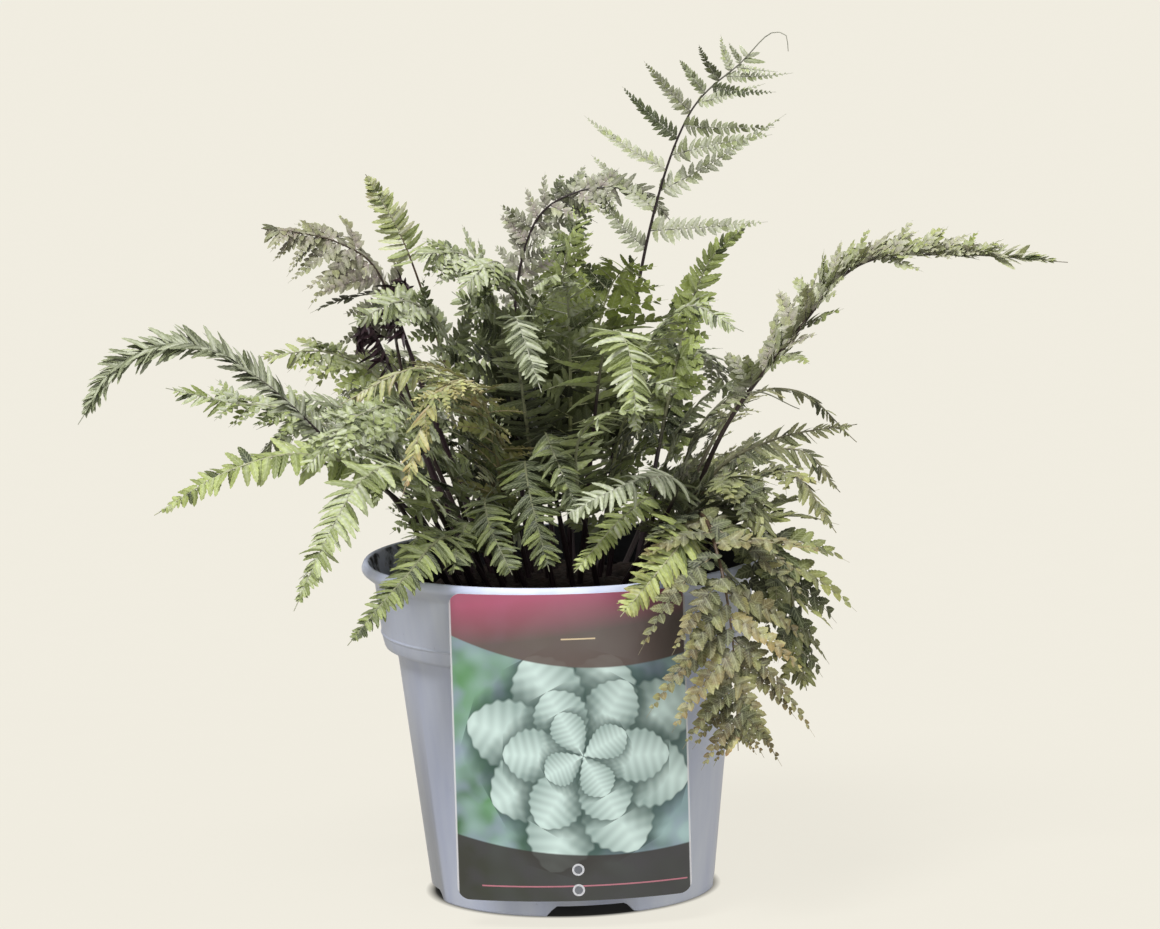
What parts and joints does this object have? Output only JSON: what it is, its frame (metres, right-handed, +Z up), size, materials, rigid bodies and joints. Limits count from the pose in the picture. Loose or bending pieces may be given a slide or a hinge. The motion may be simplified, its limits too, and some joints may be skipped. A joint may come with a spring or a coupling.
{
  "type": "potted japanese painted fern",
  "caption": "Clump of arching, feathery silver-green and purple fern fronds rising from a rhizome in a round nursery pot of compost, with a bowed plant label on its front.",
  "frame": {"origin": "middle of the pot's floor, where its dimple stands on the same level as the foot ring", "axes": "+Z up along the pot's axis; -Y out through the middle of the plant label; +X to the right as the label is faced"},
  "size_m": [0.4101, 0.232, 0.3586],
  "materials": {
    "pot": "satin",
    "compost": "matte",
    "rhizome": "matte",
    "label": "gloss",
    "frond": "satin",
    "withered": "matte"
  },
  "bodies": {
    "root": {"pot": "pot", "compost": "compost", "rhizome": "rhizome", "plant_label": "label", "frond_top": "frond", "frond_crest": "frond", "frond_right_reach": "frond", "frond_left_reach": "frond", "frond_left_crown": "frond", "frond_left_upright": "frond", "frond_left_mid": "frond", "frond_left_back": "frond", "frond_left_low": "frond", "frond_front_left": "frond", "frond_rim_left": "frond", "frond_front_dark": "frond", "frond_front_mid": "frond", "frond_rim_right": "frond", "frond_front_blue": "frond", "frond_front_lime": "frond", "frond_right_mid": "frond", "frond_right_back": "frond", "frond_right_bright": "frond", "frond_autumn_arch": "frond", "frond_autumn_tip": "frond", "frond_middle_pale": "frond", "frond_middle_blue": "frond", "frond_middle_low": "frond", "frond_silver_top": "frond", "frond_right_inner": "frond", "frond_right_low": "frond", "frond_high_left": "frond", "frond_high_right": "frond", "frond_mid_left": "frond", "frond_high_middle": "frond", "frond_back_left": "frond", "frond_back_middle": "frond", "frond_back_right": "frond", "frond_far_right": "frond", "frond_far_left": "frond", "frond_back_high": "frond", "frond_rim_back_right": "frond", "frond_rim_back_left": "frond", "frond_low_left": "frond", "frond_low_front_left": "frond", "frond_inner_left": "frond", "frond_inner_middle": "frond", "frond_inner_right": "frond", "frond_inner_back": "frond", "frond_inner_high": "frond", "frond_low_right": "frond", "frond_low_right_front": "frond", "frond_inner_far_left": "frond", "frond_front_fan": "frond", "frond_low_lime": "frond", "frond_low_rim_left": "frond", "frond_crown_left": "frond", "withered_frond_tall": "withered", "withered_frond_short": "withered"}
  },
  "joints": []
}
